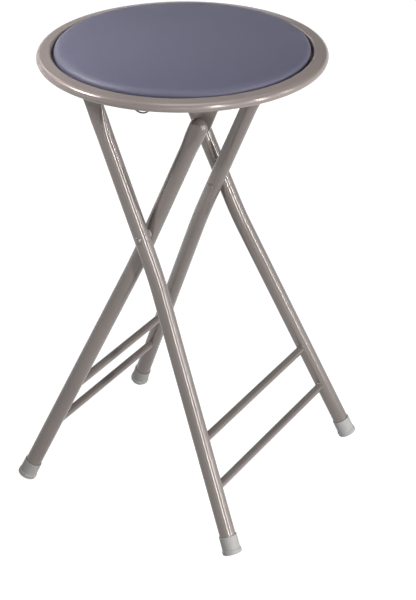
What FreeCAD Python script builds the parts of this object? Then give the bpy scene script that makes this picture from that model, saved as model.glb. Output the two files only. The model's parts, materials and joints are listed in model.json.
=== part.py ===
# Folding bar stool: a scissor of two tubular leg frames under a round padded seat.
# Millimetres. The origin is on the floor under the centre of the seat, +Z is up, the
# frames cross along X and the pivots, stretchers and pins lie along Y.
# The outer frame stands on the +X side, the inner frame on the -X side. The seat
# hinges on the outer frame and its hook brackets drop over pins of the inner frame.
import FreeCAD, Part
import math
import os

os.makedirs("parts", exist_ok=True)
Vec = FreeCAD.Vector
ALONG_X, ALONG_Y, ALONG_Z = Vec(1, 0, 0), Vec(0, 1, 0), Vec(0, 0, 1)

# Scissor
pivot_height = 383.8
foot_spread = 334.6          # between the two frames' leg axes at the floor, along X
hinge_drop = 26.0            # seat hinge on the outer frame, below the pan's floor
catch_drop = 51.0            # catch pins on the inner frame, below the pan's floor

# Leg frames: half widths along Y of the leg axes
outer_half_floor = 165.5
outer_half_bend = 105.2
outer_half_top = 94.0
inner_half_floor = 145.6
inner_half_bend = 80.0
inner_half_top = 75.2
bend_height = 335.0
bend_radius = 350.0

# Leg tube and its flattened end
tube_radius = 10.5
tube_wall = 1.2
press_steps = 6              # sections of the zone from round to flat
outer_flat_thickness = 5.0
outer_flat_width = 25.6
outer_flat_length = 14.0     # from the pin down to where the flat face ends
outer_press_length = 48.0    # from there down to the round tube
inner_flat_thickness = 16.0
inner_flat_width = 23.8
inner_flat_length = 10.0
inner_press_length = 26.0

# Stretchers
stretcher_radius = 5.4
stretcher_wall = 1.0
outer_stretcher_heights = {"upper": 138.5, "lower": 81.0}
inner_stretcher_heights = {"upper": 141.0, "lower": 83.5}

# Feet
foot_length = 24.0
foot_sleeve_radius = 11.5
foot_flange_radius = 12.6
foot_flange_height = 5.5
foot_sole = 3.0
foot_rise = 4.0              # height of the sole's centre, which leaves a small flat

# Rivets and pins
pin_radius = 3.0
running_clearance = 0.08
side_clearance = 0.3
rivet_head_radius = 4.7
rivet_head_height = 2.2
spacer_radius = 6.5
hinge_head_radius = 6.5
catch_pin_radius = 4.0
catch_head_radius = 6.0
catch_head_height = 2.0
slot_clearance = 0.3

# Seat
seat_height = 609.6
seat_radius = 179.5
pad_height = 23.6            # from the underside of the pan's floor to the pad's top
pan_sheet = 1.0
rim_width = 20.1             # from the pad's side to the rim's edge
pad_recess_clearance = 1.3   # the dark seam between the pad and the rim
rim_inner_radius = 2.4       # where the rim rolls over beside the pad
rim_rise = 13.3              # top of the rim beside the pad, above the pan's underside
rim_edge_rise = 6.3          # where the rim is widest
rim_edge_radius = 6.2
rim_slope = 1.6              # how much lower the rim's top is at its edge
rim_return = 12.0            # the edge's sheet, turned in under the rim
rim_lip = 4.0                # and its hem, turned up
board_thickness = 6.0
cover_thickness = 0.8
soft_clearance = 0.3
pad_roll_radius = 8.0
pad_crown = 3.4              # drop from the pad's middle to where its edge rolls over
pad_side_draft = math.radians(10)
pad_corner_radius = 1.6
cover_wrap = 27.0            # from the pad's side to the end of the cover, under the board
pad_screw_inset = 42.0       # from the pad's side to the circle of its screws
pad_screw_radius = 1.9
pad_screw_head_radius = 4.2
pad_screw_head_height = 2.3
screw_hole_clearance = 0.4

# Brackets
bracket_sheet = 2.5
bracket_bend = 3.0
bracket_flange = 28.0
hinge_bracket_length = 72.0
hinge_washer = 1.7
hook_flange_before = 46.0    # from the catch pin towards the hinge
hook_flange_after = 38.0     # from the catch pin the other way
hook_finger = 6.6            # width beside the slot
hook_finger_end = 4.0        # from the slot's end to the finger's tip
hook_heel = 6.5              # width of the heel on the slot's other side
hook_heel_end = 3.0          # from the catch pin to the heel's tip
hook_shoulder_rise = 17.0    # from the catch pin up to the plate's left shoulder
hook_right_edge = 29.0       # from the catch pin to the plate's right edge
hook_mouth_reach = 26.0      # how far the slot's cut runs out of the plate
hook_gap = 0.5               # from the hook plate to the leg
seat_angle_ratio = 2.6       # turn of the seat for each turn of the frames
rivet_shank_radius = 2.0
rivet_sink = 0.7
rivet_button_radius = 4.2
rivet_button_height = 1.6
rivet_inset = 17.0           # from the web's middle to the bracket's rivets

# Catch wire
wire_radius = 1.0
wire_gap = 4.7               # from the hook plate's inner face to the wire's axis
wire_eye_radius = 3.6
wire_pin_radius = 2.3
wire_pivot_offset = 31.0     # from the catch pin to the wire's pivot
wire_nose_reach = 9.5        # from the catch pin to the wire's nose
loop_back = 90.3             # from the catch pin to the loop's centre, along X
loop_drop = 41.0             # from the pan's underside to the loop's centre
loop_radius = 15.0
loop_turn = 312.0

# Derived places
pan_floor_height = seat_height - pad_height
hinge_height = pan_floor_height - hinge_drop
catch_height = pan_floor_height - catch_drop
pad_radius = seat_radius - rim_width
pad_screw_circle = pad_radius - pad_screw_inset
rim_inner_height = pan_floor_height + rim_rise
rim_edge_height = pan_floor_height + rim_edge_rise
tilt = math.atan2(foot_spread / 2, pivot_height)
pivot = Vec(0, 0, pivot_height)
hinge_x = -math.tan(tilt) * (hinge_height - pivot_height)
catch_x = math.tan(tilt) * (catch_height - pivot_height)
OUTER, INNER = 1, -1


def up_leg(side):
    """Unit vector up the frame's plane, for the outer (1) or inner (-1) frame."""
    return Vec(-side * math.sin(tilt), 0, math.cos(tilt))


def across_leg(side):
    """Unit vector square to the frame's plane and to Y."""
    return Vec(side * math.cos(tilt), 0, math.sin(tilt))


def along(height):
    """Distance up the frame's plane, from the pivot to a height."""
    return (height - pivot_height) / math.cos(tilt)


def on_frame(side, half, reach):
    """Point of the front leg's side of a frame: half width and distance from the pivot."""
    return pivot + up_leg(side) * reach - ALONG_Y * half


def mirrored(shape):
    """The rear twin of a front piece."""
    return shape.mirror(Vec(0, 0, 0), ALONG_Y)


def offset_path(points, radii, shift, to_space):
    """Edges of a polyline with rounded corners, shifted to its left by a distance."""
    pts = [Vec(a, b, 0) for a, b in points]
    steps = [(q - p).normalize() for p, q in zip(pts, pts[1:])]
    sides = [Vec(-d.y, d.x, 0) for d in steps]
    corners = [pts[0] + sides[0] * shift]
    for i in range(1, len(pts) - 1):
        both = sides[i - 1] + sides[i]
        corners.append(pts[i] + both * (shift / (1 + sides[i - 1].dot(sides[i]))))
    corners.append(pts[-1] + sides[-1] * shift)
    edges = []
    start = corners[0]
    for i in range(1, len(corners) - 1):
        turn = steps[i - 1].x * steps[i].y - steps[i - 1].y * steps[i].x
        angle = math.acos(max(-1, min(1, steps[i - 1].dot(steps[i]))))
        radius = radii[i - 1] - math.copysign(shift, turn) if radii[i - 1] else 0
        if radius <= 0:
            edges.append((start, corners[i]))
            start = corners[i]
            continue
        reach = radius * math.tan(angle / 2)
        enter = corners[i] - steps[i - 1] * reach
        leave = corners[i] + steps[i] * reach
        inward = (steps[i] - steps[i - 1]).normalize()
        middle = corners[i] + inward * (radius / math.cos(angle / 2) - radius)
        edges.append((start, enter))
        edges.append((enter, middle, leave))
        start = leave
    edges.append((start, corners[-1]))
    made = []
    for edge in edges:
        ends = [to_space(p.x, p.y) for p in edge]
        if len(ends) == 3:
            made.append(Part.Arc(*ends).toShape())
        elif ends[0].distanceToPoint(ends[1]) > 1e-6:
            made.append(Part.LineSegment(*ends).toShape())
    return made


def strip_face(points, radii, thickness, to_space):
    """A bent sheet's section: a strip of even thickness along a rounded polyline."""
    left = offset_path(points, radii, thickness / 2, to_space)
    right = offset_path(points, radii, -thickness / 2, to_space)
    first = Part.LineSegment(left[0].Vertexes[0].Point, right[0].Vertexes[0].Point)
    last = Part.LineSegment(left[-1].Vertexes[-1].Point, right[-1].Vertexes[-1].Point)
    edges = Part.__sortEdges__(left + right + [first.toShape(), last.toShape()])
    return Part.Face(Part.Wire(edges))


def outline_face(points, radii, to_space):
    """A closed outline with rounded corners; the first point is never rounded."""
    edges = offset_path(points + [points[0]], radii, 0, to_space)
    return Part.Face(Part.Wire(edges))


def in_section(a, b):
    """Radius and height, to a point of the XZ half plane that a revolve starts from."""
    return Vec(a, 0, b)


def revolved(face):
    return face.revolve(Vec(0, 0, 0), ALONG_Z, 360)


def cylinder(radius, start, end):
    """A round bar between two points."""
    return Part.makeCylinder(radius, (end - start).Length, start, end - start)


def pin_along_y(radius, x, z, y_from, y_to):
    return cylinder(radius, Vec(x, y_from, z), Vec(x, y_to, z))


def turned_along(shape, start, direction):
    """Moves a shape that was built on +Z to a start point and a direction."""
    spin = FreeCAD.Rotation(ALONG_Z, direction)
    placed = shape.copy()
    placed.Placement = FreeCAD.Placement(start, spin)
    return placed


def domed_head(radius, height, start, direction):
    """A low rivet head: a shallow spherical cap on a short rim."""
    rim = 0.3 * height
    rise = height - rim
    ball = (radius * radius + rise * rise) / (2 * rise)
    half = math.asin(radius / ball) / 2
    midway = Vec(ball * math.sin(half), 0, height - ball + ball * math.cos(half))
    edges = [
        Part.LineSegment(Vec(0, 0, 0), Vec(radius, 0, 0)).toShape(),
        Part.LineSegment(Vec(radius, 0, 0), Vec(radius, 0, rim)).toShape(),
        Part.Arc(Vec(radius, 0, rim), midway, Vec(0, 0, height)).toShape(),
        Part.LineSegment(Vec(0, 0, height), Vec(0, 0, 0)).toShape()]
    return turned_along(revolved(Part.Face(Part.Wire(edges))), start, direction)


class LegFrame:
    """One frame's driving sizes, and where the axis of its front leg runs."""

    def __init__(self, side, halves, pin_height, flat_size, lengths):
        self.side = side
        self.half_floor, self.half_bend, self.half_top = halves
        self.flat_half_width, self.flat_half_thickness = (size / 2 for size in flat_size)
        self.flat_length, self.press_length = lengths
        self.pin_reach = along(pin_height)
        self.bend_reach = along(bend_height)
        self.flat_start = self.pin_reach - self.flat_length
        self.press_start = self.flat_start - self.press_length
        self.slope = (self.half_top - self.half_bend) / (self.flat_start - self.bend_reach)

    def half_at(self, reach):
        """Half width of the leg's axis at a distance from the pivot, below its flat."""
        if reach < self.bend_reach:
            share = (reach - along(0)) / (self.bend_reach - along(0))
            return self.half_floor + (self.half_bend - self.half_floor) * share
        return self.half_bend + self.slope * (reach - self.bend_reach)

    def axis(self, reach):
        """Point of the front leg's axis at a distance from the pivot."""
        return on_frame(self.side, self.half_at(reach), reach)

    def lower(self):
        """Direction of the leg below its bend."""
        return (self.axis(self.bend_reach) - self.axis(along(0))).normalize()

    def upper(self):
        """Direction of the leg above its bend."""
        return (self.axis(self.press_start) - self.axis(self.bend_reach)).normalize()

    def sole_center(self):
        return self.axis(along(0)) + self.lower() * (foot_rise / self.lower().z)


outer_frame = LegFrame(OUTER, (outer_half_floor, outer_half_bend, outer_half_top),
                       hinge_height, (outer_flat_width, outer_flat_thickness),
                       (outer_flat_length, outer_press_length))
inner_frame = LegFrame(INNER, (inner_half_floor, inner_half_bend, inner_half_top),
                       catch_height, (inner_flat_width, inner_flat_thickness),
                       (inner_flat_length, inner_press_length))


def flat_wire(frame, share, inset, at):
    """Outline of the tube, from round (share 0) to flat (share 1), less a wall."""
    radius = tube_radius - inset
    half_wide = radius + share * (frame.flat_half_width - tube_radius)
    half_thick = radius + share * (frame.flat_half_thickness - tube_radius)
    flat = (1 - share) * radius / 2 + share * (half_wide - half_thick)
    level = (1 - share) * radius * math.cos(math.radians(30)) + share * half_thick
    edges = []
    for sign in (1, -1):
        left, right = at(-sign * flat, sign * level), at(sign * flat, sign * level)
        lower_right = at(sign * flat, -sign * level)
        if half_thick - level > 1e-6:
            edges.append(Part.Arc(left, at(0, sign * half_thick), right).toShape())
        else:
            edges.append(Part.LineSegment(left, right).toShape())
        edges.append(Part.Arc(right, at(sign * half_wide, 0), lower_right).toShape())
    return Part.Wire(edges)


def leg_bar(frame, inset, overrun):
    """The front leg as a solid bar, slimmer by an inset and longer at the floor.

    Four forms in a row: the bent round tube, the zone that the press draws from round
    to flat, the flat, and a tip that turns the flat's half section about the pin."""
    lower, upper = frame.lower(), frame.upper()
    corner = frame.axis(frame.bend_reach)
    turn = lower.getAngle(upper)
    reach = bend_radius * math.tan(turn / 2)
    enter, leave = corner - lower * reach, corner + upper * reach
    inward = (upper - lower).normalize()
    middle = corner + inward * (bend_radius / math.cos(turn / 2) - bend_radius)
    begin = frame.sole_center() + lower * (foot_sole - overrun)
    path = Part.Wire([
        Part.LineSegment(begin, enter).toShape(),
        Part.Arc(enter, middle, leave).toShape(),
        Part.LineSegment(leave, frame.axis(frame.press_start)).toShape()])
    ring = Part.Wire(Part.Circle(begin, lower, tube_radius - inset).toShape())
    tube = path.makePipeShell([ring], True, False)

    wide = across_leg(frame.side)
    sections = []
    for i in range(press_steps + 1):
        place = i / press_steps
        share = place * place * (3 - 2 * place)
        center = frame.axis(frame.press_start + place * frame.press_length)
        normal = (upper * (1 - share) + up_leg(frame.side) * share).normalize()
        thick = normal.cross(wide)
        sections.append(flat_wire(frame, share, inset,
                                  lambda a, b: center + wide * a + thick * b))
    press = Part.makeLoft(sections, True, False)
    flat = Part.Face(sections[-1]).extrude(up_leg(frame.side) * frame.flat_length)

    pin = frame.axis(frame.flat_start) + up_leg(frame.side) * frame.flat_length
    thick_half = frame.flat_half_thickness - inset
    shoulder = frame.flat_half_width - frame.flat_half_thickness
    low, high = ALONG_Y * -thick_half, ALONG_Y * thick_half
    side_low, side_high = pin + wide * shoulder + low, pin + wide * shoulder + high
    half_section = Part.Wire([
        Part.LineSegment(pin + low, side_low).toShape(),
        Part.Arc(side_low, pin + wide * (shoulder + thick_half), side_high).toShape(),
        Part.LineSegment(side_high, pin + high).toShape(),
        Part.LineSegment(pin + high, pin + low).toShape()])
    tip = Part.Face(half_section).revolve(pin, ALONG_Y * -frame.side, 180)
    return tube.fuse([press, flat, tip])


def leg_shapes(frame):
    """The front leg as a tube with a closed tip, and as the solid bar of its outside."""
    solid = leg_bar(frame, 0, 0)
    return solid.cut(leg_bar(frame, tube_wall, 2 * tube_wall)), solid


def foot_shape(frame):
    """A push-on cap: tapered sleeve, closed sole and a rounded flange at the floor."""
    edge = foot_flange_height / 3
    points = [
        (0, 0), (foot_flange_radius, 0), (foot_flange_radius, foot_flange_height),
        (foot_sleeve_radius + 0.3, foot_flange_height + 0.6),
        (foot_sleeve_radius, foot_length), (tube_radius, foot_length),
        (tube_radius, foot_sole), (0, foot_sole)]
    face = outline_face(points, [edge, edge / 2, 0.8, 0.4, 0.2, 0, 0], in_section)
    cap = turned_along(revolved(face), frame.sole_center(), frame.lower())
    wide = 2 * foot_spread
    below = Part.makeBox(2 * wide, 2 * wide, foot_length, Vec(-wide, -wide, -foot_length))
    return cap.cut(below)


def stretcher_shape(frame, height, front_solid):
    """A cross tube between the two legs of a frame, its ends shaped to the legs."""
    start = frame.axis(along(height))
    end = Vec(start.x, -start.y, start.z)
    bar = cylinder(stretcher_radius, start, end)
    bore = cylinder(stretcher_radius - stretcher_wall, start, end)
    return bar.cut([bore, front_solid, mirrored(front_solid)])


def write(name, shape):
    solids = shape.Solids
    if not solids:
        raise ValueError(name + " has no solid")
    kept = solids[0] if len(solids) == 1 else Part.makeCompound(solids)
    if not kept.isValid():
        raise ValueError(name + " isn't valid")
    kept.exportStep("parts/" + name + ".step")
    print(name, len(solids), "solid", round(sum(s.Volume for s in solids)), "mm3")


def write_pair(name, front):
    write(name + "_front", front)
    write(name + "_rear", mirrored(front))


def make_outer_frame():
    """Legs, stretchers, feet, pivot rivets and the spacers between the two frames."""
    tube, solid = leg_shapes(outer_frame)
    far = outer_half_floor
    hinge_hole = pin_along_y(pin_radius + running_clearance, hinge_x, hinge_height, -far, 0)
    rivet_hole = pin_along_y(pin_radius, 0, pivot_height, -far, 0)
    write_pair("outer_leg", tube.cut([hinge_hole, rivet_hole]))
    for place, height in outer_stretcher_heights.items():
        write("outer_stretcher_" + place, stretcher_shape(outer_frame, height, solid))
    write_pair("outer_foot", foot_shape(outer_frame))

    # The rivet is set tight in the outer leg and runs in the inner one. Its outer head
    # follows the tube, its inner head stands clear of the tube that turns under it.
    outer_axis, inner_axis = outer_frame.half_at(0), inner_frame.half_at(0)
    outside = outer_axis + tube_radius
    inside = inner_axis - tube_radius - side_clearance
    head_start = outside - tube_radius / 4
    outer_head = domed_head(rivet_head_radius, rivet_head_height + tube_radius / 4,
                            Vec(0, -head_start, pivot_height), -ALONG_Y).cut(solid)
    inner_head = domed_head(rivet_head_radius, rivet_head_height,
                            Vec(0, -inside, pivot_height), ALONG_Y)
    shank = pin_along_y(pin_radius, 0, pivot_height, -outside, -inside)
    write_pair("pivot_rivet", shank.fuse([outer_head, inner_head]))

    gap_inner = inner_axis + tube_radius + side_clearance
    spacer = pin_along_y(spacer_radius, 0, pivot_height, -outer_axis, -gap_inner)
    bore = pin_along_y(pin_radius, 0, pivot_height, -outer_axis, -gap_inner)
    write_pair("pivot_spacer", spacer.cut([bore, solid]))


def make_inner_frame():
    """Legs, stretchers, feet and the pins that the seat's hooks drop over."""
    tube, solid = leg_shapes(inner_frame)
    far = inner_half_floor
    catch_hole = pin_along_y(catch_pin_radius, catch_x, catch_height, -far, 0)
    rivet_hole = pin_along_y(pin_radius + running_clearance, 0, pivot_height, -far, 0)
    write_pair("inner_leg", tube.cut([catch_hole, rivet_hole]))
    for place, height in inner_stretcher_heights.items():
        write("inner_stretcher_" + place, stretcher_shape(inner_frame, height, solid))
    write_pair("inner_foot", foot_shape(inner_frame))

    outer_face = inner_half_top + inner_frame.flat_half_thickness
    head_face = hook_half_plane - bracket_sheet / 2 - 2 * side_clearance
    shank = pin_along_y(catch_pin_radius, catch_x, catch_height, -outer_face, -head_face)
    head = domed_head(catch_head_radius, catch_head_height,
                      Vec(catch_x, -head_face, catch_height), ALONG_Y)
    write_pair("catch_pin", shank.fuse(head))


# Mid planes of the bracket webs, from the legs that they meet
hinge_half_plane = (outer_half_top - outer_frame.flat_half_thickness - side_clearance
                    - hinge_washer - bracket_sheet / 2)
hook_half_plane = (inner_half_top - inner_frame.flat_half_thickness - hook_gap
                   - bracket_sheet / 2)
wire_half_plane = hook_half_plane - bracket_sheet / 2 - wire_gap


def bracket_body(half_plane, x_from, x_to, web_depth):
    """A bent angle along X: its flange under the pan, its web hanging down."""
    top = pan_floor_height - bracket_sheet / 2
    points = [(-half_plane, pan_floor_height - web_depth), (-half_plane, top),
              (bracket_flange - half_plane, top)]
    face = strip_face(points, [bracket_bend], bracket_sheet,
                      lambda a, b: Vec(x_from, a, b))
    return face.extrude(ALONG_X * (x_to - x_from))


def prism_along_y(points, radii, half_from, half_to):
    """A closed XZ outline drawn at one half width and carried to another."""
    face = outline_face(points, radii, lambda a, b: Vec(a, -half_to, b))
    return face.extrude(ALONG_Y * (half_to - half_from))


def slot_direction():
    """Way out of the hook for the catch pin, as the fold begins."""
    arm_x, arm_z = catch_x, catch_height - pivot_height
    lever_x, lever_z = catch_x - hinge_x, catch_height - hinge_height
    out = Vec(-arm_z + seat_angle_ratio * lever_z, 0, arm_x - seat_angle_ratio * lever_x)
    return out.normalize()


def rivet_places():
    """Bracket rivets of the front side, in X and half width."""
    spots = []
    for share in (-0.38, 0.38):
        spots.append((hinge_x + share * hinge_bracket_length, hinge_half_plane - rivet_inset))
    low, high = catch_x - hook_flange_before, catch_x + hook_flange_after
    for share in (0.12, 0.5, 0.88):
        spots.append((low + share * (high - low), hook_half_plane - rivet_inset))
    return spots


def flush_shank(x, y, low):
    """A rivet's shank from a height up through the pan, with a flush sunk head."""
    top = Vec(x, y, pan_floor_height + pan_sheet)
    sunk = Part.makeCone(rivet_shank_radius, rivet_shank_radius + rivet_sink, rivet_sink,
                         top - ALONG_Z * rivet_sink, ALONG_Z)
    return cylinder(rivet_shank_radius, Vec(x, y, low), top).fuse(sunk)


def make_brackets():
    """Hinge brackets for the outer frame and hook brackets for the inner frame."""
    web_radius = outer_frame.flat_half_width
    left = hinge_x - hinge_bracket_length / 2
    right = hinge_x + hinge_bracket_length / 2
    shoulder = pan_floor_height - bracket_sheet - bracket_bend
    body = bracket_body(hinge_half_plane, left, right, pan_floor_height - hinge_height
                        + web_radius)
    corner = web_radius * 0.999
    bottom = hinge_height - web_radius
    outline = prism_along_y(
        [(left, pan_floor_height), (left, shoulder), (hinge_x - web_radius, hinge_height + 8),
         (hinge_x - web_radius, bottom), (hinge_x + web_radius, bottom),
         (hinge_x + web_radius, hinge_height + 8), (right, shoulder),
         (right, pan_floor_height)],
        [3, 6, corner, corner, 6, 3, 0], 0, hinge_half_plane + bracket_sheet)
    hinge_hole = pin_along_y(pin_radius, hinge_x, hinge_height, -outer_half_top, 0)
    rivets = [cylinder(rivet_shank_radius, Vec(x, -half, pan_floor_height - 5),
                       Vec(x, -half, pan_floor_height + 5)) for x, half in rivet_places()]
    write_pair("hinge_bracket", body.common(outline).cut([hinge_hole] + rivets))

    # The hook: a tab with a slanted slot, open where the pin leaves as the stool folds
    out = slot_direction()
    normal = Vec(-out.z, 0, out.x)
    center = Vec(catch_x, 0, catch_height)
    slot_half = catch_pin_radius + slot_clearance
    finger_out = center + normal * (slot_half + hook_finger)
    finger_tip = finger_out + out * (slot_half + hook_finger_end)
    slot_right = center + normal * slot_half + out * (slot_half + hook_finger_end)
    slot_left = center - normal * slot_half + out * hook_heel_end
    heel = slot_left - normal * hook_heel + out * 1.0
    low, high = catch_x - hook_flange_before, catch_x + hook_flange_after
    depth = pan_floor_height - finger_tip.z + 2 * hook_finger
    body = bracket_body(hook_half_plane, low, high, depth)
    outline = prism_along_y(
        [(low, pan_floor_height), (low, shoulder),
         (heel.x - hook_heel_end, catch_height + hook_shoulder_rise),
         (heel.x, heel.z), (slot_left.x, slot_left.z), (catch_x, catch_height),
         (slot_right.x, slot_right.z), (finger_tip.x, finger_tip.z),
         (finger_out.x + 1.2, finger_out.z + 1.5), (catch_x + hook_right_edge, shoulder - 4),
         (high, shoulder), (high, pan_floor_height)],
        [3, 10, 2.5, 1.5, 0, 2.8, 3.2, 12, 2, 2, 0], 0, hook_half_plane + bracket_sheet)
    slot = pin_along_y(slot_half, catch_x, catch_height, -inner_half_top, 0)
    mouth = prism_along_y(
        [(p.x, p.z) for p in (center + normal * slot_half, center - normal * slot_half,
                              center - normal * (slot_half + 3) + out * hook_mouth_reach,
                              center + normal * slot_half + out * hook_mouth_reach)],
        [0, 0, 0], 0, inner_half_top)
    pivot_hole = pin_along_y(wire_pin_radius, wire_pivot.x, wire_pivot.z, -inner_half_top, 0)
    write_pair("hook_bracket", body.common(outline).cut([slot, mouth, pivot_hole] + rivets))

    heads = []
    for x, half in rivet_places():
        for sign in (1, -1):
            y = -half * sign
            under = Vec(x, y, pan_floor_height - bracket_sheet)
            heads.append(flush_shank(x, y, under.z).fuse(
                domed_head(rivet_button_radius, rivet_button_height, under, -ALONG_Z)))
    write("bracket_rivets", Part.makeCompound(heads))


def make_hinge():
    """Rivets and washers between the hinge brackets and the outer legs."""
    outer_face = outer_half_top + outer_frame.flat_half_thickness + side_clearance
    inner_face = hinge_half_plane - bracket_sheet / 2
    shank = pin_along_y(pin_radius, hinge_x, hinge_height, -outer_face, -inner_face)
    outside = domed_head(hinge_head_radius, rivet_head_height,
                         Vec(hinge_x, -outer_face, hinge_height), -ALONG_Y)
    inside = domed_head(rivet_head_radius, rivet_head_height - 0.6,
                        Vec(hinge_x, -inner_face, hinge_height), ALONG_Y)
    write_pair("hinge_pin", shank.fuse([outside, inside]))
    web_face = hinge_half_plane + bracket_sheet / 2
    washer = pin_along_y(hinge_head_radius + 1, hinge_x, hinge_height,
                         -web_face - hinge_washer, -web_face)
    bore = pin_along_y(pin_radius, hinge_x, hinge_height, -outer_half_top, 0)
    write_pair("hinge_washer", washer.cut(bore))


# The pad's section: a crown that is part of a ball, a rolled edge and a side that
# draws in towards the board. Each skin below the outermost is an even inset of it.
pad_bottom = pan_floor_height + pan_sheet + soft_clearance
crown_span = pad_radius - pad_roll_radius
crown_ball = (crown_span ** 2 + pad_crown ** 2) / (2 * pad_crown)
crown_center = Vec(0, 0, seat_height - crown_ball)
pad_roll_center = crown_center + Vec(
    crown_span, 0, math.sqrt((crown_ball - pad_roll_radius) ** 2 - crown_span ** 2))
side_normal = Vec(math.cos(pad_side_draft), 0, -math.sin(pad_side_draft))
side_down = Vec(-math.sin(pad_side_draft), 0, -math.cos(pad_side_draft))
side_top = pad_roll_center + side_normal * (pad_roll_radius - pad_corner_radius)
side_length = (side_top.z - pad_bottom - pad_corner_radius) / math.cos(pad_side_draft)
pad_corner_center = side_top + side_down * side_length


def arc_about(center, radius, start, end):
    """Arc between two directions, both seen from its centre."""
    first, last = Vec(start).normalize(), Vec(end).normalize()
    middle = (first + last).normalize()
    return Part.Arc(*[center + d * radius for d in (first, middle, last)]).toShape()


def pad_outline(inset, floor=None):
    """Edges of the pad's section, from its top to the wrap or down to a flat floor."""
    to_roll = pad_roll_center - crown_center
    edges = [
        arc_about(crown_center, crown_ball - inset, ALONG_Z, to_roll),
        arc_about(pad_roll_center, pad_roll_radius - inset, to_roll, side_normal)]
    side_start = pad_roll_center + side_normal * (pad_roll_radius - inset)
    if floor is not None:
        foot = side_start + side_down * ((side_start.z - floor) / math.cos(pad_side_draft))
        edges.append(Part.LineSegment(side_start, foot).toShape())
        edges.append(Part.LineSegment(foot, Vec(0, 0, floor)).toShape())
        return edges
    corner = pad_corner_radius - inset
    side_end = pad_corner_center + side_normal * corner
    turned_in = pad_corner_center - ALONG_Z * corner
    edges.append(Part.LineSegment(side_start, side_end).toShape())
    edges.append(arc_about(pad_corner_center, corner, side_normal, -ALONG_Z))
    edges.append(Part.LineSegment(turned_in, Vec(pad_radius - cover_wrap, 0,
                                                 turned_in.z)).toShape())
    return edges


def outline_between(outer, inner):
    """Face between two rows of edges, or between one row and the line that closes it."""
    ends = [(row[0].Vertexes[0].Point, row[-1].Vertexes[-1].Point) for row in (outer, inner)
            if row]
    if inner:
        closing = [(ends[0][0], ends[1][0]), (ends[0][1], ends[1][1])]
    else:
        closing = [ends[0]]
    closing = [Part.LineSegment(a, b).toShape() for a, b in closing]
    return Part.Face(Part.Wire(Part.__sortEdges__(outer + inner + closing)))


def make_seat():
    """Pressed pan with its rolled rim, and the pad: board, foam and cover."""
    mid = pan_floor_height + pan_sheet / 2
    wall = pad_radius + pad_recess_clearance + pan_sheet / 2
    edge = seat_radius - pan_sheet / 2
    rim_bottom = rim_edge_height - rim_edge_radius + pan_sheet / 2
    points = [(0, mid), (wall, mid), (wall, rim_inner_height - pan_sheet / 2),
              (edge, rim_edge_height + rim_edge_radius - rim_slope), (edge, rim_bottom),
              (edge - rim_return, rim_bottom), (edge - rim_return, rim_bottom + rim_lip)]
    edge_radius = rim_edge_radius - 0.8
    section = strip_face(points, [2.5, rim_inner_radius, edge_radius, edge_radius, 1.5],
                         pan_sheet, in_section)
    pan = revolved(section)
    holes = [flush_shank(x, sign * half, pan_floor_height - pan_sheet)
             for x, half in rivet_places() for sign in (1, -1)]
    screw_spots = [Vec(pad_screw_circle * math.cos(a), pad_screw_circle * math.sin(a), 0)
                   for a in (i * math.pi / 2 for i in range(4))]
    for spot in screw_spots:
        under = spot + ALONG_Z * (pan_floor_height - pan_sheet)
        holes.append(cylinder(pad_screw_radius + screw_hole_clearance, under,
                              under + ALONG_Z * 3 * pan_sheet))
    write("seat_pan", pan.cut(holes))

    # The cover folds under the board, so the board lies one cover above the pan
    cover_outside = pad_outline(0)
    cover_inside = pad_outline(cover_thickness)
    write("pad_cover", revolved(outline_between(cover_outside, cover_inside)))

    inset = cover_thickness + soft_clearance
    board_bottom = pad_bottom + inset
    board_top = board_bottom + board_thickness
    board_points = [(0, board_bottom), (pad_corner_center.x, board_bottom),
                    (pad_corner_center.x, board_top), (0, board_top)]
    board = revolved(outline_face(board_points, [1.0, 1.0, 0], in_section))
    pilots = [cylinder(pad_screw_radius, spot + ALONG_Z * board_bottom,
                       spot + ALONG_Z * (board_top - 1)) for spot in screw_spots]
    write("pad_board", board.cut(pilots))

    foam_bottom = board_top + soft_clearance
    write("pad_foam", revolved(outline_between(pad_outline(inset, foam_bottom), [])))

    screws = []
    for spot in screw_spots:
        under = spot + ALONG_Z * pan_floor_height
        screws.append(cylinder(pad_screw_radius, under, spot + ALONG_Z * (board_top - 1))
                      .fuse(domed_head(pad_screw_head_radius, pad_screw_head_height,
                                       under, -ALONG_Z)))
    write("pad_screws", Part.makeCompound(screws))


wire_pivot = Vec(catch_x, 0, catch_height) - slot_direction() * wire_pivot_offset


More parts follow.
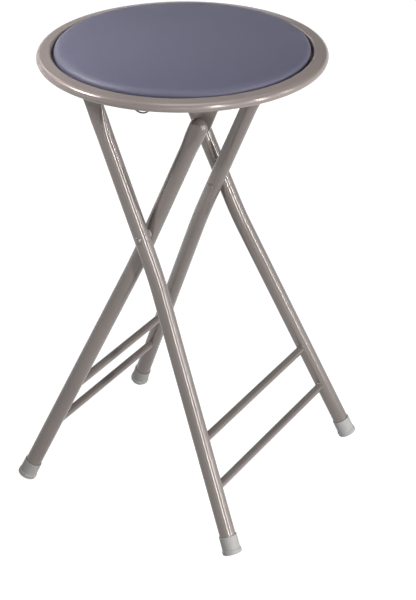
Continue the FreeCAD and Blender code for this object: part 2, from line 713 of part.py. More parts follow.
def make_catch():
    """The sprung wire beside the front hook, with its finger loop, and its pivot."""
    plane = ALONG_Y * -wire_half_plane
    center = wire_pivot + plane
    nose = Vec(catch_x, 0, catch_height) + slot_direction() * wire_nose_reach + plane
    loop = Vec(catch_x - loop_back, 0, pan_floor_height - loop_drop) + plane

    def turned(vector, angle):
        """Turns a vector from +X towards +Z."""
        c, s = math.cos(angle), math.sin(angle)
        return Vec(vector.x * c - vector.z * s, 0, vector.x * s + vector.z * c)

    # The nose arm runs up the right of the pivot, over it and away to the loop
    to_center = center - nose
    arm_turn = math.asin(wire_eye_radius / to_center.Length)
    arm = turned(to_center.normalize(), -arm_turn)
    touch = nose + arm * math.sqrt((center - nose).Length ** 2 - wire_eye_radius ** 2)
    span = loop - center
    lean = math.acos((loop_radius - wire_eye_radius) / span.Length)
    inward = turned(span.normalize(), lean)
    leave = center - inward * wire_eye_radius
    land = loop - inward * loop_radius
    first = touch - center
    last = leave - center
    over = turned((first + last).normalize(), 0) * wire_eye_radius
    sweep = math.radians(loop_turn)
    start_arm = land - loop
    path = Part.Wire([
        Part.LineSegment(nose, touch).toShape(),
        Part.Arc(touch, center + over, leave).toShape(),
        Part.LineSegment(leave, land).toShape(),
        Part.Arc(land, loop + turned(start_arm, sweep / 4),
                 loop + turned(start_arm, sweep / 2)).toShape(),
        Part.Arc(loop + turned(start_arm, sweep / 2), loop + turned(start_arm, 3 * sweep / 4),
                 loop + turned(start_arm, sweep)).toShape()])
    ring = Part.Wire(Part.Circle(nose, arm, wire_radius).toShape())
    write("catch_wire", path.makePipeShell([ring], True, False))

    web_inner = hook_half_plane - bracket_sheet / 2
    web_outer = hook_half_plane + bracket_sheet / 2
    wire_in = wire_half_plane - wire_radius - side_clearance
    wire_out = wire_half_plane + wire_radius + side_clearance
    x, z = wire_pivot.x, wire_pivot.z
    journal = pin_along_y(wire_eye_radius - wire_radius - running_clearance, x, z,
                          -wire_out, -wire_in)
    collar = pin_along_y(wire_eye_radius + wire_radius, x, z, -web_inner, -wire_out)
    tail = pin_along_y(wire_pin_radius, x, z, -web_outer, -web_inner)
    head = domed_head(wire_eye_radius + wire_radius + 0.6, 1.6, Vec(x, -wire_in, z), ALONG_Y)
    write("catch_pivot", journal.fuse([collar, tail, head]))


make_outer_frame()
make_inner_frame()
make_brackets()
make_hinge()
make_seat()
make_catch()
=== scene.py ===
# %% [markdown]
# A folding bar stool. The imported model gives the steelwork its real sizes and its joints,
# and this lesson dresses it: paint on the tubes, a rolled rim, grey foot caps and a
# padded vinyl seat. Everything is in metres and stands where the model stands.

# %% The frame
import bmesh
import bpy
import math
import numpy as np
from mathutils import Matrix, Vector
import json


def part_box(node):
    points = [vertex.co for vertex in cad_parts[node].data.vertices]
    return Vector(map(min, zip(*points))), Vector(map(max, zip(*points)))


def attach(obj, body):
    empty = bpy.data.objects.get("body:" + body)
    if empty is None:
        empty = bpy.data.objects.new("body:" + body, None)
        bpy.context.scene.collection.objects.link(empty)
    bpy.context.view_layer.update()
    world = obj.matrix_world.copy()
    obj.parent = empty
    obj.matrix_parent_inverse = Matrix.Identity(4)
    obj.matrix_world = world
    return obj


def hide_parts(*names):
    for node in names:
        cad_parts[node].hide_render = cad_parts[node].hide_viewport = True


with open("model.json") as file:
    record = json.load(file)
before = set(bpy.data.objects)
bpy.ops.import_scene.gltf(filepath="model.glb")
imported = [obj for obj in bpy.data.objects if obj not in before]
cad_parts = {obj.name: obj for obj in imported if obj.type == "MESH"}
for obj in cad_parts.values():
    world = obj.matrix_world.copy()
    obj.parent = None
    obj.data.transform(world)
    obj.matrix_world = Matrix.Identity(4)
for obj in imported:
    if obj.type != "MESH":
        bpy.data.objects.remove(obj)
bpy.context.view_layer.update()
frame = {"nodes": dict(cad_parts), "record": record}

# %% [markdown]
# The camera stands high and far off and looks down on the stool, so that the legs hardly
# draw together. Its place, its three directions and its focal length were fitted to the
# circle of the seat and to the four feet, and it leans by a seventh of a degree. A matrix
# of three directions sets all the angles at once, which is surer than turning the camera
# by hand.

# %% The camera
camera_place = Vector((1.10749, -1.85696, 1.41442))
looking = Vector((-0.440025, 0.762091, -0.474969)).normalized()
camera_lean = math.radians(-0.145)
level = looking.cross(Vector((0, 0, 1))).normalized()
rightward = level * math.cos(camera_lean) + level.cross(looking) * math.sin(camera_lean)
upward = rightward.cross(looking)
camera_data = bpy.data.cameras.new("camera")
camera_data.sensor_width = 36.0
camera_data.lens = 111.98
camera = bpy.data.objects.new("camera", camera_data)
bpy.context.scene.collection.objects.link(camera)
turn = Matrix((rightward, upward, -looking)).transposed().to_4x4()
camera.matrix_world = Matrix.Translation(camera_place) @ turn
bpy.context.scene.camera = camera
bpy.context.scene.view_settings.view_transform = "Standard"
print("camera looks down by", round(math.degrees(math.asin(-looking.z)), 2), "degrees")

# %% [markdown]
# Shader sums read best as sums. A small class holds one output of a node, and its
# operators add the Math nodes: `1 - mask * 0.3` becomes two nodes and their links. A
# second class holds one material and adds every other kind of node by one method.


# %% Shader sums
class Value:
    """One number or vector of a shader, which can be used in sums."""

    def __init__(self, tree, socket):
        self.tree, self.socket = tree, socket

    def sum(self, operation, first, second):
        node = self.tree.nodes.new("ShaderNodeMath")
        node.operation = operation
        for slot, item in zip(node.inputs, (first, second)):
            join(self.tree, slot, item)
        return Value(self.tree, node.outputs[0])

    def __add__(self, other):
        return self.sum("ADD", self, other)

    def __sub__(self, other):
        return self.sum("SUBTRACT", self, other)

    def __rsub__(self, other):
        return self.sum("SUBTRACT", other, self)

    def __mul__(self, other):
        return self.sum("MULTIPLY", self, other)

    __radd__, __rmul__ = __add__, __mul__


def join(tree, slot, item):
    """Links a value to a socket, or writes a plain number or colour into it."""
    if isinstance(item, Value):
        tree.links.new(item.socket, slot)
    else:
        slot.default_value = item


class Finish:
    """One material, built node by node."""

    def __init__(self, name):
        self.material = bpy.data.materials.new(name)
        self.material.use_nodes = True
        self.tree = self.material.node_tree
        self.tree.nodes.clear()

    def add(self, kind, settings=(), values=(), out=0):
        """Adds a node: settings first, then its sockets, and returns one output."""
        node = self.tree.nodes.new(kind)
        for key, item in dict(settings).items():
            if key == "stops":
                ramp = node.color_ramp
                while len(ramp.elements) < len(item):
                    ramp.elements.new(0.5)
                for element, (place, shade) in zip(ramp.elements, item):
                    element.position = place
                    element.color = (shade, shade, shade, 1)
            else:
                setattr(node, key, item)
        for key, item in dict(values).items():
            join(self.tree, node.inputs[key], item)
        return Value(self.tree, node.outputs[out]) if node.outputs else None

    def noise(self, scale, detail=2.0, rough=0.5, stretch=None):
        """Soft noise from 0 to 1 on Object coordinates."""
        where = self.where()
        if stretch:
            where = self.add("ShaderNodeMapping", {}, {"Vector": where, "Scale": stretch})
        return self.add("ShaderNodeTexNoise", {},
                        {"Vector": where, "Scale": scale, "Detail": detail, "Roughness": rough})

    def where(self):
        return self.add("ShaderNodeTexCoord", out="Object")

    def blend(self, share, first, second):
        """A colour between two others."""
        return self.add("ShaderNodeMix", {"data_type": "RGBA"},
                        {0: share, 6: first, 7: second}, out=2)

    def ramp(self, value, *stops):
        return self.add("ShaderNodeValToRGB", {"stops": stops}, {"Fac": value})

    def bump(self, height, distance, strength=1.0):
        return self.add("ShaderNodeBump", {},
                        {"Height": height, "Distance": distance, "Strength": strength})

    def surface(self, values):
        """The Principled surface and the material's output."""
        shader = self.add("ShaderNodeBsdfPrincipled", {}, values)
        self.add("ShaderNodeOutputMaterial", {}, {"Surface": shader})
        return self.material


def tone(red, green, blue):
    """A colour as a screen shows it, 0 to 255, in the linear numbers that shaders use."""
    shown = np.array([red, green, blue]) / 255
    low, high = shown / 12.92, ((shown + 0.055) / 1.055) ** 2.4
    return (*np.where(shown <= 0.04045, low, high).tolist(), 1.0)


def shade(colour, factor):
    """A linear colour made lighter or darker by a factor, and never above white."""
    return (*(min(1, channel * factor) for channel in colour[:3]), 1)


frame_grey = tone(137, 129, 125)
print("the frame's paint in linear numbers:", [round(v, 3) for v in frame_grey])

# %% [markdown]
# The frame is sprayed with a warm grey satin paint. Spray paint isn't mirror smooth: it
# dries with a faint orange peel, about two millimetres from hump to hump, which breaks up
# the long highlights on the tubes. The colour drifts by a few percent along a tube. Bump
# gives the peel, and a soft noise moves colour and roughness a little. The paint also holds
# metal flake, so a share of its shine has the paint's own colour, and Metallic gives that.
# A noise's scale is how many times it swings in a metre.


# %% Satin paint
drift_scale, fleck_scale, peel_scale = 9.0, 700.0, 520.0
peel_height = 0.00001
colour_drift = 0.05


def satin_paint(name, colour, roughness=0.19, metal=0.3):
    """Paint whose roughness swings by 0.04 along a tube and by 0.025 from fleck to fleck."""
    f = Finish(name)
    drift = f.noise(drift_scale, 3.0)
    patches = f.ramp(drift, (0.35, 0), (0.65, 1))
    fleck = f.noise(fleck_scale, 1.0)
    return f.surface({
        "Base Color": f.blend(patches, shade(colour, 1 - colour_drift),
                              shade(colour, 1 + colour_drift)),
        "Roughness": roughness + (drift - 0.5) * 0.08 + (fleck - 0.5) * 0.05,
        "Normal": f.bump(f.noise(peel_scale, 2.0), peel_height),
        "Metallic": metal,
        "Specular IOR Level": 0.3,
    })


frame_paint = satin_paint("frame_paint", frame_grey)
rim_paint = satin_paint("rim_paint", tone(156, 145, 141), 0.22, metal=0.2)
bracket_paint = satin_paint("bracket_paint", tone(158, 149, 144), 0.38)
print("three paints of one recipe, with patches of", round(500 / drift_scale), "mm")

# %% [markdown]
# Foot caps are moulded plastic, a little lighter in clouds where they are rubbed, with a
# fine grain from the mould. Washers are the same kind of plastic, darker and shinier.
# Screws are zinc plated steel, and the catch is dark spring wire: both are metal with
# fine lines of roughness, drawn out by stretching the noise along Z.


# %% Plastic and steel
cloud_scale, mould_grain_scale, drawn_line_scale = 60.0, 1500.0, 900.0
mould_grain_height = 0.00002
drawn_line_height = 0.00001


def moulded_plastic(name, colour, roughness):
    f = Finish(name)
    cloud = f.noise(cloud_scale, 3.0)
    rubbed = f.ramp(cloud, (0.45, 0), (0.8, 1))
    return f.surface({
        "Base Color": f.blend(rubbed, colour, shade(colour, 1.12)),
        "Roughness": roughness + (cloud - 0.5) * 0.15,
        "Normal": f.bump(f.noise(mould_grain_scale, 2.0), mould_grain_height),
    })


def plated_steel(name, colour, roughness):
    f = Finish(name)
    lines = f.noise(drawn_line_scale, 2.0, stretch=(1, 1, 0.06))
    return f.surface({
        "Base Color": colour,
        "Metallic": 1.0,
        "Roughness": roughness + (lines - 0.5) * 0.2,
        "Normal": f.bump(lines, drawn_line_height),
    })


foot_plastic = moulded_plastic("foot_cap", tone(182, 181, 179), 0.55)
washer_plastic = moulded_plastic("washer_plastic", tone(150, 146, 142), 0.45)
fastener_steel = plated_steel("fastener_steel", tone(196, 194, 190), 0.34)
wire_steel = plated_steel("wire_steel", tone(120, 115, 112), 0.28)
print("two plastics and two steels")

# %% [markdown]
# The seat's cover is slate blue-grey vinyl. Vinyl has a pressed leather grain: small
# cells with fine creases between them. A Voronoi pattern's distance to its edges draws
# the creases, which are deeper than the cells and carry a painted shade, and a finer noise
# adds pores. A slow noise makes the colour a little lighter in wide patches.


# %% Slate vinyl
grain_scale, patch_scale, pore_scale = 620.0, 12.0, 1400.0
grain_depth = 0.0001


def slate_vinyl(name, colour):
    """Vinyl: its height is 0.7 of the grain's cells and 0.3 of the pores."""
    f = Finish(name)
    cells = f.add("ShaderNodeTexVoronoi", {"feature": "DISTANCE_TO_EDGE"},
                  {"Vector": f.where(), "Scale": grain_scale, "Randomness": 1.0})
    crease = f.ramp(cells, (0.0, 0), (0.16, 1))
    drift = f.noise(patch_scale, 3.0)
    pores = f.noise(pore_scale, 2.0)
    # Painted shade: the colour falls to 0.9 in the creases, as if shade lay in the grain's
    # recesses.
    crease_shaded_colour = f.blend(crease, shade(colour, 0.9), colour)
    return f.surface({
        "Base Color": f.blend(drift * 0.12, crease_shaded_colour, shade(colour, 1.25)),
        "Roughness": 0.5 + (drift - 0.5) * 0.08 - crease * 0.05,
        "Normal": f.bump(crease * 0.7 + pores * 0.3, grain_depth),
        "Specular IOR Level": 0.45,
    })


cover_vinyl = slate_vinyl("cover_vinyl", tone(101, 100, 120))
print("the vinyl's cells are about", round(1000 / grain_scale, 1), "mm wide")

# %% [markdown]
# Each node of the model gets the finish that the record names for it. The photograph
# shows the pins painted over with the frame. The foam and the board are out of sight, so
# they take the washers' plain plastic.

# %% Finishes on the model's own pieces
finishes = {
    "frame_paint": frame_paint, "rivet_paint": frame_paint, "pin_steel": frame_paint,
    "rim_paint": rim_paint, "bracket_paint": bracket_paint,
    "foot_cap": foot_plastic, "washer_plastic": washer_plastic,
    "fastener_steel": fastener_steel, "wire_steel": wire_steel,
    "cover_vinyl": cover_vinyl, "foam": washer_plastic, "board_wood": washer_plastic,
}
for entry in frame["record"]["subparts"]:
    node = frame["nodes"][entry["node"]]
    node.data.materials.clear()
    node.data.materials.append(finishes[entry["material_slot"]])
print(len(frame["nodes"]), "nodes have their finish")

# %% [markdown]
# The other pieces are surfaces worked out with numpy. A surface is a grid of points:
# ring after ring, with as many places on each ring. Four neighbours make one face, so
# the faces are sums on a grid of numbers. Where a ring shrinks to one point, as at a
# pole, or closes on itself, the doubled points are merged, and the normals are then
# worked out again so that all faces point outwards.


# %% A surface from a grid of points
def grid_mesh(name, points, closed_rings=False):
    """Faces over points[ring, place]: each ring is closed, and so may be their row."""
    rings, places = points.shape[:2]
    number = np.arange(rings * places).reshape(rings, places)
    if closed_rings:
        number = np.vstack((number, number[:1]))
    beside = np.roll(number, -1, axis=1)
    quads = np.stack((number[:-1], beside[:-1], beside[1:], number[1:]), axis=-1)
    return flat_mesh(name, points.reshape(-1, 3), quads.reshape(-1, 4))


def flat_mesh(name, points, quads):
    """A mesh of rows of points and rows of corners, merged, outward and smooth."""
    mesh = bpy.data.meshes.new(name)
    mesh.from_pydata(points.tolist(), [], quads.tolist())
    work = bmesh.new()
    work.from_mesh(mesh)
    bmesh.ops.remove_doubles(work, verts=work.verts, dist=1e-6)
    bmesh.ops.recalc_face_normals(work, faces=work.faces)
    work.to_mesh(mesh)
    work.free()
    mesh.shade_smooth()
    return mesh


def piece(name, mesh, finish, body):
    """An object at the origin that shows a mesh and moves with a body of the model."""
    made = bpy.data.objects.new(name, mesh)
    bpy.context.scene.collection.objects.link(made)
    made.data.materials.append(finish)
    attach(made, body)
    print(name, "has", len(mesh.polygons), "faces")
    return made


# %% [markdown]
# The two frames stand like an X. Below its bend each leg is a straight line, so a leg is
# known from where its axis meets the floor and where it bends. `leg_axis` gives the point
# of a leg's axis at a height; the rear leg is its mirror image.

# %% Where the legs run
pivot_height = 0.3838
foot_spread = 0.3346    # along X, from the inner frame's feet to the outer frame's
bend_height = 0.335
tube_radius = 0.0105
stretcher_radius = 0.0054
frames = {
    "outer": {"side": 1, "half_at_floor": 0.1655, "half_at_bend": 0.1052,
              "stretchers": {"upper": 0.1385, "lower": 0.0810}},
    "inner": {"side": -1, "half_at_floor": 0.1456, "half_at_bend": 0.0800,
              "stretchers": {"upper": 0.1410, "lower": 0.0835}},
}


def leg_axis(which, height, rear=False):
    """Point of a leg's axis, below its bend: x and y both change evenly with height."""
    facts = frames[which]
    narrowing = facts["half_at_bend"] - facts["half_at_floor"]
    half = facts["half_at_floor"] + narrowing * height / bend_height
    x = facts["side"] * foot_spread / 2 * (1 - height / pivot_height)
    return np.array([x, half if rear else -half, height])


def leg_direction(which, rear=False):
    up = leg_axis(which, bend_height, rear) - leg_axis(which, 0, rear)
    return up / np.linalg.norm(up)


print("outer front leg meets the floor at", leg_axis("outer", 0).round(4))

# %% [markdown]
# A foot cap is moulded in soft plastic and pushed over the tube: a plain sleeve with a
# thin lip, and a thicker ring round the sole with a crease above it. It is turned from a
# profile, so a lathe fits: the profile's radius and height are arrays, and one outer
# product with the circle's sine and cosine gives every point. The leg leans, so one side of
# the turned cap dips under the floor. Clamping z at 0 presses the sole flat there.


# %% Foot caps
def rounded(points, reach, steps=5):
    """A polyline whose inner corners are quadratic curves, from one point to the next.

    A curve starts and ends at a reach from its corner, or sooner where the lines are
    short: (1 - t)^2 of its start, 2 t (1 - t) of the corner and t^2 of its end."""
    points = np.array(points, float)
    rows = [points[:1]]
    t = np.linspace(0, 1, steps)[:, None]
    for before, corner, after in zip(points, points[1:], points[2:]):
        back, on = np.linalg.norm(before - corner), np.linalg.norm(after - corner)
        cut = min(reach, back / 2.2, on / 2.2)
        enter = corner + (before - corner) * cut / back
        leave = corner + (after - corner) * cut / on
        rows.append((1 - t) ** 2 * enter + 2 * t * (1 - t) * corner + t ** 2 * leave)
    rows.append(points[-1:])
    return np.vstack(rows)


def turned(profile, start, direction, places=72):
    """Revolves radius and height about an axis: start + height * axis + radius * circle."""
    side = np.cross(direction, [0, 1, 0])
    side /= np.linalg.norm(side)
    other = np.cross(direction, side)
    angle = np.arange(places) * 2 * math.pi / places
    circle = np.cos(angle)[:, None] * side + np.sin(angle)[:, None] * other
    radius, height = profile[:, 0], profile[:, 1]
    return start + height[:, None, None] * direction + radius[:, None, None] * circle


sole_ring = [(0, 0), (0.0126, 0), (0.0126, 0.0052)]
crease_and_sleeve = [(0.0115, 0.0059), (0.0117, 0.0072), (0.0116, 0.0226)]
lip = [(0.0116, 0.0240), (0.0107, 0.0240), (0.0105, 0.0228)]
bore = [(0.0103, 0.0220), (0.0103, 0.0030), (0, 0.0030)]
cap_profile = rounded(sole_ring + crease_and_sleeve + lip + bore, 0.0011)
foot_rise = 0.004    # from the floor to the middle of the sole
for which in frames:
    for rear in (False, True):
        direction = leg_direction(which, rear)
        sole = leg_axis(which, 0, rear) + direction * foot_rise / direction[2]
        cap = turned(cap_profile, sole, direction)
        cap[..., 2] = np.maximum(cap[..., 2], 0)
        place = "rear" if rear else "front"
        made = piece(f"{which}_cap_{place}", grid_mesh("cap", cap), foot_plastic,
                     which + "_frame")
        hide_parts(f"{which}_foot_{place}")

# %% [markdown]
# Each stretcher is welded to its legs, and the weld leaves a small bead all round the
# joint, painted over with the frame. The bead follows the curve where two round tubes
# meet. For each angle round the stretcher, the meeting point is the root of a quadratic:
# the distance from the leg's axis must equal the leg's radius. The bead is then a thin
# ring swept along that curve, and a cosine makes it thicker where the welder paused. The
# rear bead is the front one's mirror image.


# %% Weld beads
def meeting_curve(which, height, angle, radius):
    """Where a tube along Y of a radius meets the front leg, for angles round that tube."""
    center = leg_axis(which, height)
    axis = leg_direction(which)
    start = np.stack((radius * np.cos(angle), np.full_like(angle, -center[1]),
                      radius * np.sin(angle)), axis=-1)
    along_leg = start @ axis
    half_linear = start[:, 1] - along_leg * axis[1]
    constant = (start ** 2).sum(axis=1) - along_leg ** 2 - tube_radius ** 2
    square = 1 - axis[1] ** 2
    y = (-half_linear + np.sqrt(half_linear ** 2 - square * constant)) / square
    return np.stack((center[0] + start[:, 0], y, center[2] + start[:, 2]), axis=-1)


def bead(curve, places=14):
    """A ring swept along a closed curve: its radius is 1 + depth * cos(ripples * turn)."""
    forward = np.roll(curve, -1, axis=0) - np.roll(curve, 1, axis=0)
    forward /= np.linalg.norm(forward, axis=1)[:, None]
    outward = curve - curve.mean(axis=0)
    outward -= (outward * forward).sum(axis=1)[:, None] * forward
    outward /= np.linalg.norm(outward, axis=1)[:, None]
    across = np.cross(forward, outward)
    around = np.arange(places) * 2 * math.pi / places
    turn = np.arange(len(curve)) * 2 * math.pi / len(curve)
    thick = bead_radius * (1 + ripple_depth * np.cos(bead_ripples * turn))
    ring = (np.cos(around)[:, None] * outward[:, None]
            + np.sin(around)[:, None] * across[:, None])
    return curve[:, None] + thick[:, None, None] * ring


bead_radius = 0.0011
bead_ripples = 15
ripple_depth = 0.14
bead_points = 120
angle = np.arange(bead_points) * 2 * math.pi / bead_points
for which, facts in frames.items():
    for place, height in facts["stretchers"].items():
        curve = meeting_curve(which, height, angle, stretcher_radius)
        for end, sign in (("front", 1), ("rear", -1)):
            ring = bead(curve * (1, sign, 1))
            piece(f"{which}_weld_{place}_{end}", grid_mesh("weld", ring, True),
                  frame_paint, which + "_frame")

# %% [markdown]
# The cushion is a board and foam under a stretched vinyl cover. Seen from the side it is
# almost flat, rolls over at its edge and draws in where it sinks into the rim. Two square
# grids carry it, one for the top with its side and one for the underside. A square grid
# becomes a round one when each point keeps its share of the way to the edge and takes its
# angle from its place along that edge, so all the faces stay about the same size, which
# cloth needs. A lathe would crowd them at the middle.


# %% The cushion before it is filled
pad_low, pad_high = (np.array(corner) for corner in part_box("pad_cover"))
pad_radius = (pad_high[0] - pad_low[0]) / 2
pad_roll = np.array([0.0105, 0.0062])    # how wide and how high the edge rolls over
pad_crown = 0.0034                       # from the middle down to where the roll starts
pad_tuck = math.radians(12)              # how far the side leans in
pad_spread = 0.0003                      # the cloth starts this much wider than the solid
swell = 0.0011                           # the most that the filling moves a point
cloth_cells = 84                         # across the whole cushion


def pad_profile(radius, top, bottom, places):
    """Radius and height from the middle of the top, over the roll and down the side.

    The crown falls with the square of the radius, the roll is an arc of an ellipse that is
    wider than high, and the side draws in at a constant angle; the arc begins and ends
    where its slope is theirs. The points are then spaced evenly along the line."""
    span = radius - pad_roll[0]
    share = np.linspace(0, 1, 60)
    crown = np.stack((span * share, top - pad_crown * share ** 2), axis=-1)
    squash = pad_roll[0] / pad_roll[1]
    bend = np.linspace(math.atan(2 * pad_crown / span * squash),
                       math.pi / 2 + math.atan(math.tan(pad_tuck) / squash), 60)
    start = crown[-1] - pad_roll * np.array([np.sin(bend[0]), np.cos(bend[0])])
    roll = start + pad_roll * np.stack((np.sin(bend), np.cos(bend)), axis=-1)
    drop = roll[-1, 1] - bottom
    side = np.array([[roll[-1, 0] - drop * math.tan(pad_tuck), bottom]])
    line = np.vstack((crown, roll[1:], side))
    steps = np.linalg.norm(np.diff(line, axis=0), axis=1)
    length = np.concatenate(([0], np.cumsum(steps)))
    even = np.linspace(0, length[-1], places)
    return np.stack([np.interp(even, length, line[:, k]) for k in (0, 1)], axis=-1)


def round_grid(cells):
    """Share of the way to the edge and angle, for a square grid of cells.

    The share is the greater of |a| and |b|. The angle goes evenly along each of the
    square's four sides, 45 degrees to either hand of the side's middle."""
    line = np.linspace(-1, 1, cells + 1)
    a, b = np.meshgrid(line, line, indexing="ij")
    share = np.maximum(abs(a), abs(b))
    nonzero = np.where(share > 0, share, 1)
    eighth = math.pi / 4
    on_a = eighth * b / nonzero * np.sign(a) + np.where(a < 0, math.pi, 0)
    on_b = 2 * eighth * np.sign(b) - eighth * a / nonzero * np.sign(b)
    return share, np.where(abs(a) >= abs(b), on_a, on_b)


def cushion_mesh(name, radius, top, bottom, cells):
    """The closed shell: a top grid that follows the profile and a flat underside."""
    share, angle = round_grid(cells)
    profile = pad_profile(radius, top, bottom, 4 * cells)
    even = np.linspace(0, 1, len(profile))
    top_reach, top_height = (np.interp(share, even, profile[:, k]) for k in (0, 1))
    under_reach, under_height = share * profile[-1, 0], np.full_like(share, bottom)
    shells = [np.stack((reach * np.cos(angle), reach * np.sin(angle), height), axis=-1)
              for reach, height in ((top_reach, top_height), (under_reach, under_height))]
    number = np.arange((cells + 1) ** 2).reshape(cells + 1, cells + 1)
    corners = (number[:-1, :-1], number[1:, :-1], number[1:, 1:], number[:-1, 1:])
    quads = np.stack(corners, axis=-1).reshape(-1, 4)
    points = np.vstack([shell.reshape(-1, 3) for shell in shells])
    return flat_mesh(name, points, np.vstack((quads, quads[:, ::-1] + (cells + 1) ** 2)))


shell = cushion_mesh("cushion", pad_radius + pad_spread, pad_high[2] - swell, pad_low[2],
                     cloth_cells)
cushion = piece("seat_cushion", shell, cover_vinyl, "seat")
print("cushion is", round(2000 * pad_radius, 1), "mm across")

# %% [markdown]
# Foam presses the cover outwards evenly, which is what a cloth with pressure inside does.
# The part below the rim is pinned, because there the cover is stretched over the board.
# Twenty frames are enough for it to swell. The cover is thick and hides small dents, so
# each point's move is evened out with its neighbours' a few dozen times. How far a point
# may go is then capped softly: the hyperbolic tangent passes small moves and flattens
# long ones. One subdivision makes the last facets disappear. The filled cushion stands in
# for the model's cover and foam.


# %% The filling
foam_pressure = 4.0
cover_stiffness = 40
fill_frames = 20
evening_rounds = 60
pinned_depth = 0.011    # the cover's height that the rim hides


def evened(mesh, move, rounds):
    """Takes each point's move halfway to the mean of its neighbours', round after round."""
    pairs = np.empty(len(mesh.edges) * 2, dtype=np.int64)
    mesh.edges.foreach_get("vertices", pairs)
    first, second = pairs.reshape(-1, 2).T
    count = np.bincount(pairs, minlength=len(move))[:, None]
    for _ in range(rounds):
        total = np.zeros_like(move)
        np.add.at(total, first, move[second])
        np.add.at(total, second, move[first])
        move = (move + total / count) / 2
    return move


def fill_cushion(piece_object, pinned_below, most):
    """Swells a piece as pressed cloth and keeps most * tanh(move / most) of each move."""
    mesh = piece_object.data
    start = np.empty(len(mesh.vertices) * 3)
    mesh.vertices.foreach_get("co", start)
    start = start.reshape(-1, 3)
    group = piece_object.vertex_groups.new(name="pin")
    group.add(np.flatnonzero(start[:, 2] < pinned_below).tolist(), 1.0, "REPLACE")
    cloth = piece_object.modifiers.new("fill", "CLOTH")
    cloth.settings.use_pressure = True
    cloth.settings.uniform_pressure_force = foam_pressure
    cloth.settings.effector_weights.gravity = 0.0
    cloth.settings.vertex_group_mass = "pin"
    cloth.settings.tension_stiffness = cover_stiffness
    cloth.settings.compression_stiffness = cover_stiffness
    cloth.settings.quality = 6
    scene = bpy.context.scene
    for step in range(1, fill_frames + 1):
        scene.frame_set(step)
    filled = piece_object.evaluated_get(bpy.context.evaluated_depsgraph_get())
    swollen = np.empty(len(mesh.vertices) * 3)
    filled.data.vertices.foreach_get("co", swollen)
    move = evened(mesh, swollen.reshape(-1, 3) - start, evening_rounds)
    far = np.linalg.norm(move, axis=1)[:, None] + 1e-12
    kept = start + move / far * most * np.tanh(far / most)
    piece_object.modifiers.remove(cloth)
    piece_object.vertex_groups.clear()
    scene.frame_set(1)
    mesh.vertices.foreach_set("co", kept.ravel())
    mesh.update()
    print("cushion swells by up to", round(1000 * float(far.max()), 2), "mm before the cap")


fill_cushion(cushion, pad_low[2] + pinned_depth, swell)
rounder = cushion.modifiers.new("finer", "SUBSURF")
rounder.levels = rounder.render_levels = 1
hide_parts("pad_cover", "pad_foam")

# %% [markdown]
# The studio is a pale floor that renders as white paper and curves up into a low wall all
# round, so that a low view sees paper too. Light Path tells the camera's rays and the
# reflections from the rest: only they see the paper glow, so the glow lights nothing. For
# all other rays the floor is grey paper, which keeps the light it throws back low.


# %% The floor
paper_grey, shadow_grey = (0.2, 0.2, 0.2, 1), (0.3, 0.3, 0.3, 1)
paper_glow = 0.94
floor_reach, wall_height, wall_bend = 10.0, 2.4, 1.0


def white_ground(name):
    """Glow and a thin grey that shows the shadow, or plain grey paper for other rays."""
    f = Finish(name)
    camera_ray = f.add("ShaderNodeLightPath", out="Is Camera Ray")
    glossy_ray = f.add("ShaderNodeLightPath", out="Is Glossy Ray")
    glass_ray = f.add("ShaderNodeLightPath", out="Is Transmission Ray")
    seen = f.add("ShaderNodeMath", {"operation": "MAXIMUM"},
                 {0: camera_ray, 1: f.add("ShaderNodeMath", {"operation": "MAXIMUM"},
                                          {0: glossy_ray, 1: glass_ray})})
    paper = f.add("ShaderNodeBsdfDiffuse", {}, {"Color": paper_grey})
    thin = f.add("ShaderNodeBsdfDiffuse", {}, {"Color": shadow_grey})
    glow = f.add("ShaderNodeEmission", {}, {"Color": (1, 1, 1, 1), "Strength": paper_glow})
    shown = f.add("ShaderNodeAddShader", {}, {0: thin, 1: glow})
    both = f.add("ShaderNodeMixShader", {}, {0: seen, 1: paper, 2: shown})
    f.add("ShaderNodeOutputMaterial", {}, {"Surface": both})
    return f.material


floor_line = [(0, 0), (0.7 * floor_reach, 0), (floor_reach, 0), (floor_reach, wall_height)]
floor_rings = turned(rounded(floor_line, wall_bend, 12), np.zeros(3), np.array([0.0, 0.0, 1.0]))
floor = bpy.data.objects.new("floor", grid_mesh("floor", floor_rings))
bpy.context.scene.collection.objects.link(floor)
floor.data.materials.append(white_ground("floor_paper"))
print("the floor is", 2 * floor_reach, "m across")

# %% [markdown]
# The photograph's tubes tell where its lamps stood. The outer legs carry two thin bright
# lines, so two tall narrow boxes stand low at the right, with a wider and dimmer one
# beside them and one at the front. The cushion is lighter at its left than at its right,
# which only a lamp close by can do: a small box at its left front, narrowed so that it
# spares the legs. A large box above and three high ones round it light the seat evenly,
# and two from the left and the back give the rim its edge. The sky stays dim, so the left
# sides of the tubes fall off into shade.


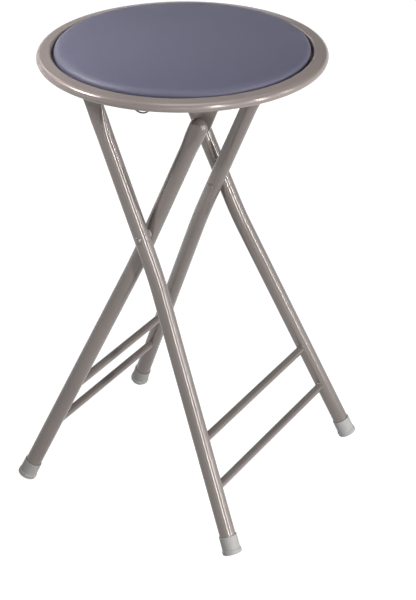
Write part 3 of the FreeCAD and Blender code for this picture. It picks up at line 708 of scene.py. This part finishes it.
# %% The lamps
def sky(strength):
    """A plain dim world, which the floor and its wall hide from the camera."""
    world = bpy.data.worlds.new("sky")
    bpy.context.scene.world = world
    world.use_nodes = True
    tree = world.node_tree
    tree.nodes.clear()
    out = tree.nodes.new("ShaderNodeOutputWorld")
    back = tree.nodes.new("ShaderNodeBackground")
    back.inputs["Color"].default_value = (1, 1, 1, 1)
    back.inputs["Strength"].default_value = strength
    tree.links.new(back.outputs[0], out.inputs["Surface"])


def soft_box(name, azimuth, elevation, distance, width, height, power, spread=180,
             middle=(0, 0, 0.35)):
    """An area lamp that faces a middle point: azimuth from +X, all angles in degrees."""
    a, e = math.radians(azimuth), math.radians(elevation)
    lamp = bpy.data.lights.new(name, "AREA")
    lamp.shape = "RECTANGLE"
    lamp.spread = math.radians(spread)
    lamp.size, lamp.size_y, lamp.energy = width, height, power
    made = bpy.data.objects.new(name, lamp)
    bpy.context.scene.collection.objects.link(made)
    toward = Vector((math.cos(e) * math.cos(a), math.cos(e) * math.sin(a), math.sin(e)))
    made.location = Vector(middle) + toward * distance
    made.rotation_euler = toward.to_track_quat("Z", "Y").to_euler()
    return made


sky_strength = 0.05
# azimuth, elevation, distance, width, height and power, and for one its spread and middle
boxes = {
    "right_line": (-34, 14, 3.2, 0.12, 2.2, 50.0),
    "far_line": (0, 11, 3.2, 0.12, 2.2, 44.0),
    "far_box": (24, 12, 3.2, 0.3, 2.2, 14.0),
    "front_line": (-60, 12, 3.2, 0.2, 2.2, 4.0),
    "top_box": (-30, 88, 2.5, 1.2, 1.2, 8.0),
    "left_high_box": (180, 52, 2.7, 0.9, 0.9, 4.0),
    "left_line": (-172, 36, 2.7, 0.3, 0.9, 6.0),
    "back_box": (154, 33, 2.9, 0.9, 1.1, 7.0),
    "front_high_box": (-60, 66, 2.7, 0.8, 0.8, 3.0),
    "pad_box": (-146, 38, 0.9, 0.2, 0.2, 0.62, 46, (-0.07, -0.06, 0.61)),
    "right_high_box": (0, 64, 2.7, 0.8, 0.8, 2.0),
}
sky(sky_strength)
for name, numbers in boxes.items():
    soft_box(name, *numbers)
print(len(boxes), "lamps")
